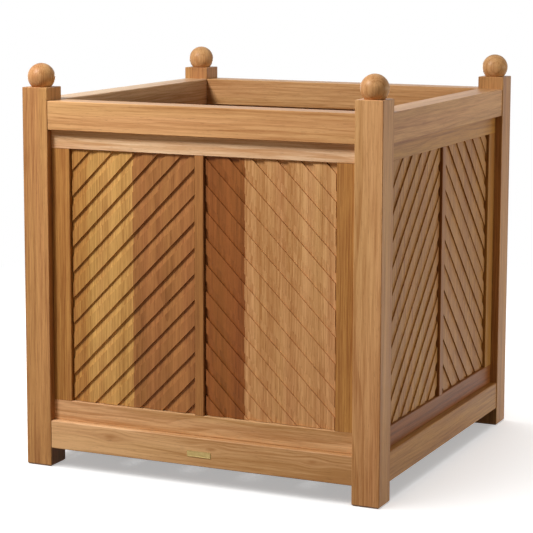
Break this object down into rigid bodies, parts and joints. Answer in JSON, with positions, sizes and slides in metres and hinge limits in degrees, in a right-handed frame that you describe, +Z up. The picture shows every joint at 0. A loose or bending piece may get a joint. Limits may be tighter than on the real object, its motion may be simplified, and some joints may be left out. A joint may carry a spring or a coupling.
{
  "type": "planter box",
  "caption": "Square slatted-floor wooden planter box with corner posts, ball finials, framed sides and chevron-carved panels.",
  "frame": {"origin": "on the floor, under the middle of the box", "axes": "+Z up, -Y towards the front, which is the side with the small plate; +X to the right as seen from the front"},
  "size_m": [0.6, 0.6, 0.6369],
  "materials": {
    "post_wood": "bare oiled teak, fine straight grain",
    "rail_wood": "bare oiled teak, fine straight grain",
    "frame_wood": "bare oiled teak, fine straight grain",
    "panel_wood": "carved teak, grain upright",
    "finial_wood": "turned and sanded teak",
    "hidden_wood": "plain sawn teak",
    "plate_brass": "bare satin brass"
  },
  "bodies": {
    "root": {"back_bottom_rail": "rail_wood", "back_floor_cleat": "hidden_wood", "back_frame_bottom": "frame_wood", "back_frame_top": "frame_wood", "back_muntin": "frame_wood", "back_panel_left": "panel_wood", "back_panel_right": "panel_wood", "back_stile_left": "frame_wood", "back_stile_right": "frame_wood", "back_top_rail": "rail_wood", "finial_ball_back_left": "finial_wood", "finial_ball_back_right": "finial_wood", "finial_ball_front_left": "finial_wood", "finial_ball_front_right": "finial_wood", "finial_dowel_back_left": "hidden_wood", "finial_dowel_back_right": "hidden_wood", "finial_dowel_front_left": "hidden_wood", "finial_dowel_front_right": "hidden_wood", "floor_slat_1": "hidden_wood", "floor_slat_2": "hidden_wood", "floor_slat_3": "hidden_wood", "floor_slat_4": "hidden_wood", "floor_slat_5": "hidden_wood", "front_bottom_rail": "rail_wood", "front_floor_cleat": "hidden_wood", "front_frame_bottom": "frame_wood", "front_frame_top": "frame_wood", "front_muntin": "frame_wood", "front_panel_left": "panel_wood", "front_panel_right": "panel_wood", "front_stile_left": "frame_wood", "front_stile_right": "frame_wood", "front_top_rail": "rail_wood", "left_bottom_rail": "rail_wood", "left_frame_bottom": "frame_wood", "left_frame_top": "frame_wood", "left_muntin": "frame_wood", "left_panel_left": "panel_wood", "left_panel_right": "panel_wood", "left_stile_left": "frame_wood", "left_stile_right": "frame_wood", "left_top_rail": "rail_wood", "maker_plate": "plate_brass", "post_back_left": "post_wood", "post_back_right": "post_wood", "post_front_left": "post_wood", "post_front_right": "post_wood", "right_bottom_rail": "rail_wood", "right_frame_bottom": "frame_wood", "right_frame_top": "frame_wood", "right_muntin": "frame_wood", "right_panel_left": "panel_wood", "right_panel_right": "panel_wood", "right_stile_left": "frame_wood", "right_stile_right": "frame_wood", "right_top_rail": "rail_wood"}
  },
  "joints": []
}
